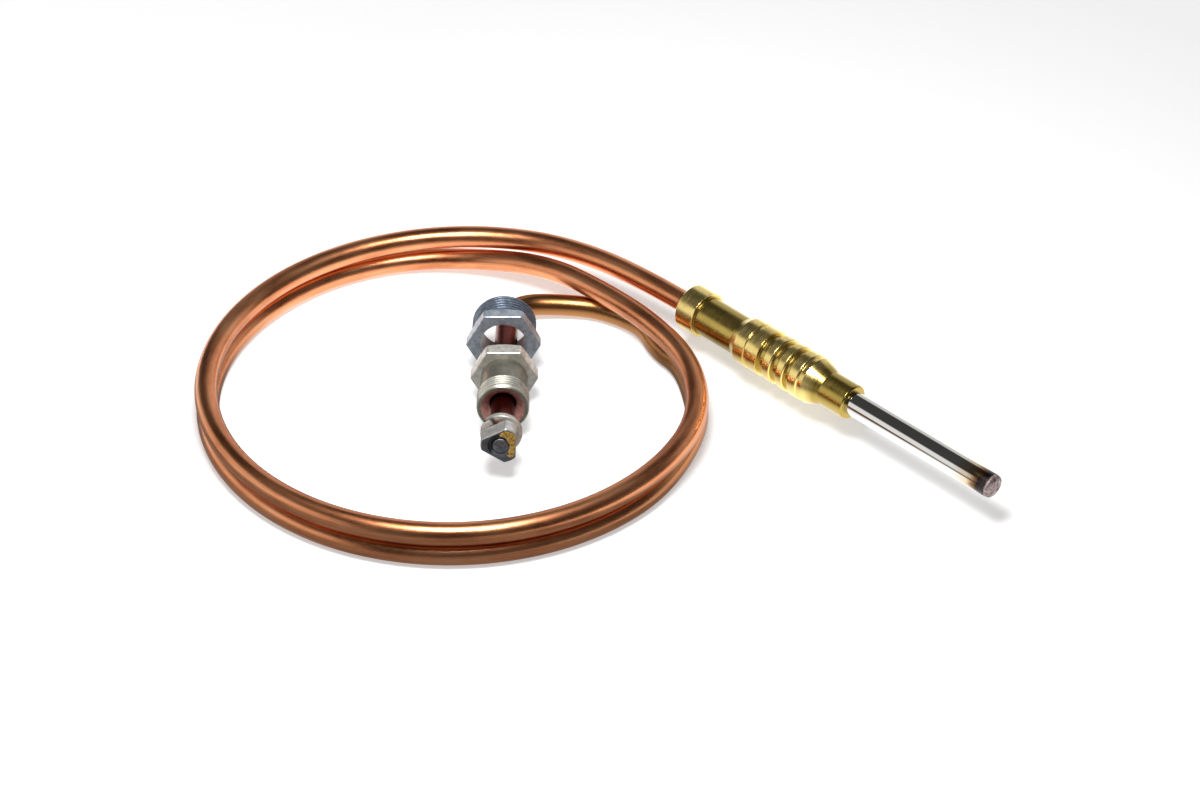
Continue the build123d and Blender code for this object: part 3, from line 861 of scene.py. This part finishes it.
# ---------------------------------------------------------------- terminal and washer
def lock_washer(material):
    """The split spring washer: a square-cut helix of one turn, less its gap."""
    steps = 150
    inner, outer = WASHER_BORE, WASHER_RADIUS
    soft = 0.09 * MM
    half = WASHER_THICKNESS / 2
    section = [
        (inner + soft, -half),
        (outer - soft, -half),
        (outer, -half + soft),
        (outer, half - soft),
        (outer - soft, half),
        (inner + soft, half),
        (inner, half - soft),
        (inner, -half + soft),
    ]
    vertices = []
    faces = []
    count = len(section)
    for i in range(steps + 1):
        share = i / steps
        angle = WASHER_GAP_AT - WASHER_GAP / 2 - share * (2 * pi - WASHER_GAP)
        rise = WASHER_REAR + half + share * WASHER_SET
        for radius, along in section:
            slanted = angle - WASHER_SLANT * along / half
            vertices.append((radius * cos(slanted), radius * sin(slanted), rise + along))
    for i in range(steps):
        faces += ring_faces(i, i + 1, count)
    faces.append(tuple(range(count)))
    faces.append(tuple(range(steps * count, (steps + 1) * count)))
    piece = make_object("spring_washer", vertices, faces, material)
    clean(piece)
    sharpen(piece, 50)
    piece.matrix_world = run_place()
    finish_piece(piece, "washer", "nickel_plate", "lock_washer")


def ferrule_radius(angle):
    """Distance from the terminal's axis to its crimped outline."""
    reach = FERRULE_RADIUS
    for flat in FLAT_ANGLES:
        lean = cos(angle - radians(flat))
        if lean > 0.2:  # this flat faces the angle
            reach = min(reach, FLAT_DISTANCE / lean)
    return reach


def terminal(plated, dark, button, flux):
    """The crimped ferrule, its insulating ring, the solder button and the flux beside it."""
    rear = FERRULE_ALONG
    front = rear + FERRULE_LENGTH
    back = front - TERMINAL_DEPTH
    recess = front - 0.3 * MM
    place = run_place()
    soft = 0.16 * MM
    lead_bore = LEAD_RADIUS + 0.05 * MM
    profile = [(lead_bore, rear), (FERRULE_RADIUS - soft, rear), (FERRULE_RADIUS, rear + soft)]
    profile += [(FERRULE_RADIUS, front - soft), (FERRULE_RADIUS - soft, front)]
    profile += [(TERMINAL_BORE, front), (TERMINAL_BORE, recess), (lead_bore, recess), (lead_bore, rear)]

    def crimp(angle, radius, along):
        limit = ferrule_radius(angle)
        if radius > TERMINAL_BORE + 0.05 * MM:
            return limit - (FERRULE_RADIUS - radius), along
        return radius, along

    ferrule = lathe("ferrule", profile, plated, place, 180, crimp)
    sharpen(ferrule, 30)
    finish_piece(ferrule, "probe_and_lead", "nickel_plate", "terminal_ferrule")
    inner, outer = CONTACT_RADIUS, TERMINAL_BORE - CONTACT_GAP
    ring = [(inner, back), (inner, front - 0.12 * MM), (outer, front - 0.05 * MM), (outer, back)]
    insulator = lathe("insulator_ring", ring, dark, place, 96)
    finish_piece(insulator, "probe_and_lead", "dark_insulation", "terminal_insulator")
    proud = 0.2 * MM
    steps = 8
    button_radius = CONTACT_RADIUS - CONTACT_GAP
    knob = [(button_radius, back), (button_radius, front)]
    for i in range(1, steps + 1):
        angle = pi / 2 * i / steps
        radius = button_radius * cos(angle) ** 0.6 if i < steps else ON_AXIS
        knob.append((radius, front + proud * sin(angle)))
    contact = lathe("solder_button", knob, button, place, 96)
    finish_piece(contact, "probe_and_lead", "solder", "terminal_contact")
    flux_patch(flux, front, place)


def flux_patch(material, front, place):
    """Hardened flux on the right of the terminal's face, from its top round to its lower side."""
    across, around = 10, 44
    first, last = radians(-62), radians(96)
    vertices = []
    faces = []
    for i in range(around + 1):
        share = i / around
        angle = first + (last - first) * share
        wave = noise.noise(Vector((share * 7, 0.3, 0)))
        inner = CONTACT_RADIUS + (0.10 + 0.12 * wave) * MM
        outer = ferrule_radius(angle) - (0.12 + 0.08 * wave) * MM
        taper = sin(pi * share) ** 0.35
        for j in range(across + 1):
            part = j / across
            radius = inner + (outer - inner) * (0.5 + (part - 0.5) * taper)
            x, y = radius * cos(angle), radius * sin(angle)
            grain = 0.5 + 0.5 * noise.noise(Vector((x, y, 0)) / (0.3 * MM))
            dome = sin(pi * part) ** 0.5 * taper
            vertices.append((x, y, front + (0.02 + 0.13 * dome * grain) * MM))
    row = across + 1
    for i in range(around):
        for j in range(across):
            this, following = i * row + j, (i + 1) * row + j
            faces.append((this, this + 1, following + 1, following))
    patch = make_object("flux_patch", vertices, faces, material)
    patch.matrix_world = place
    finish_piece(patch, "probe_and_lead", "solder")


def build_all():
    """Build every visible piece and dress the hidden CAD nodes."""
    brass_sleeve(brass_material())
    probe_rod(rod_material(), weld_material())
    rear_braze(braze_material())
    nickel = plated_material(
        "dull_nickel", (0.86, 0.84, 0.77), (0.56, 0.54, 0.48), (0.14, 0.125, 0.10)
    )
    olive = plated_material(
        "nickel_thread",
        (0.84, 0.82, 0.74),
        (0.54, 0.53, 0.45),
        (0.12, 0.115, 0.08),
        thread=(3.70 * MM, 3.90 * MM),
    )
    zinc = plated_material("blue_zinc", (0.56, 0.61, 0.68), (0.30, 0.35, 0.42), (0.07, 0.085, 0.12))
    dark_zinc = plated_material(
        "zinc_thread",
        (0.28, 0.33, 0.41),
        (0.13, 0.17, 0.23),
        (0.03, 0.04, 0.065),
        thread=(4.60 * MM, 4.94 * MM),
        bore=(ADAPTER_BORE, ((0.20, 0.17, 0.17), (0.42, 0.36, 0.36))),
    )
    washer_plate = plated_material(
        "washer_plate", (0.86, 0.83, 0.77), (0.66, 0.62, 0.56), (0.30, 0.28, 0.24)
    )
    front = FERRULE_ALONG + FERRULE_LENGTH - 0.03 * MM
    crimped = plated_material(
        "plated_ferrule",
        (0.76, 0.75, 0.72),
        (0.46, 0.45, 0.43),
        (0.16, 0.16, 0.16),
        face=(front, ((0.04, 0.05, 0.06), (0.24, 0.27, 0.31))),
    )
    connector_nut(nickel, olive, cone_material())
    adapter_nut(zinc, dark_zinc)
    lock_washer(washer_plate)
    terminal(crimped, ring_material(), contact_material(), flux_material())
    piece, line = lead_tube(copper_material())
    hidden = inner_insulation_material()
    for node in ("core_insulator", "splice_cover", "lead_insulation"):
        dress(node, hidden)
    for node in ("core_wire", "cold_junction_splice", "lead_conductor", "terminal_solder"):
        dress(node, contact_material())


def dress(node, material):
    """Give a CAD node's object its own material."""
    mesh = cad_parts[node].data
    mesh.materials.clear()
    mesh.materials.append(material)


# ---------------------------------------------------------------- surroundings
def white_floor():
    """A white floor that keeps the object's shadow. Camera rays see it with a glow added, and
    mirror rays see it evenly lit in bands, without shadow."""
    half = FLOOR_HALF
    sides = ((-half, -half), (half, -half), (half, half), (-half, half))
    corners = [(x, y, FLOOR_HEIGHT) for x, y in sides]
    n = Material("white_floor", metallic=0.0)
    n.colour(FLOOR_COLOUR)
    n.rough(FLOOR_ROUGHNESS)
    path = n.add("ShaderNodeLightPath")
    place = n.coordinates()
    glow = n.emission(n.spread(n.radius(place), *GLOW_REACH, *GLOW))
    seen = n.add("ShaderNodeAddShader")
    n.link(n.shader.outputs[0], seen.inputs[0])
    n.link(glow.outputs[0], seen.inputs[1])
    back = n.spread(n.along(place, LOOK_ACROSS), *BRIGHT_BEHIND)
    right = n.spread(n.along(place, LOOK_RIGHT), *BRIGHT_RIGHT)
    mirrored = n.emission(n.spread(n.math("MAXIMUM", back, right), 0, 1, *MIRRORED_FLOOR))
    mirror_ray = n.math("MAXIMUM", path.outputs["Is Glossy Ray"], path.outputs["Is Transmission Ray"])
    unseen = n.mix_shaders(mirror_ray, n.shader, mirrored)
    chosen = n.mix_shaders(path.outputs["Is Camera Ray"], unseen, seen)
    n.link(chosen.outputs[0], n.tree.nodes["Material Output"].inputs["Surface"])
    make_object("floor", corners, [(0, 1, 2, 3)], n.material)


def studio_world():
    """A dim room with a bright wall behind the object and another on its left."""
    world = bpy.data.worlds.new("studio")
    scene.world = world
    world.use_nodes = True
    n = Nodes(world.node_tree)
    direction = n.coordinates("Generated")
    level = ROOM_LEVEL
    for heading, reach, top, strength in BRIGHT_WALLS:
        facing = n.along(direction, (cos(heading), sin(heading), 0))
        across = n.spread(facing, cos(reach + WALL_SIDE_FADE), cos(reach), 0, strength)
        rise = n.axis(direction, "Z")
        below = n.spread(rise, sin(top + WALL_TOP_FADE), sin(top - WALL_TOP_FADE))
        level = n.math("ADD", n.math("MULTIPLY", across, below), level)
    background = n.tree.nodes["Background"]
    background.inputs["Color"].default_value = (1, 1, 1, 1)
    n.link(level, background.inputs["Strength"])


def lamp():
    """The one lamp, above the near side of the coil."""
    data = bpy.data.lights.new("key", "AREA")
    data.shape = "RECTANGLE"
    data.size = data.size_y = LAMP_SIDE
    data.energy = LAMP_POWER
    holder = bpy.data.objects.new("key", data)
    holder.location = LAMP_PLACE
    holder.rotation_euler = (LAMP_TARGET - LAMP_PLACE).to_track_quat("-Z", "Y").to_euler()
    scene.collection.objects.link(holder)


def camera():
    """The camera, at its fitted place and angles."""
    data = bpy.data.cameras.new("camera")
    data.lens = CAMERA_LENS
    data.sensor_width = CAMERA_SENSOR
    data.clip_start = CAMERA_NEAR_LIMIT
    viewer = bpy.data.objects.new("camera", data)
    viewer.location = CAMERA_PLACE
    viewer.rotation_euler = (pi / 2 - CAMERA_ELEVATION, 0, CAMERA_AZIMUTH)
    scene.collection.objects.link(viewer)
    scene.camera = viewer


camera()
white_floor()
studio_world()
lamp()
build_all()
scene.view_settings.view_transform = "Standard"
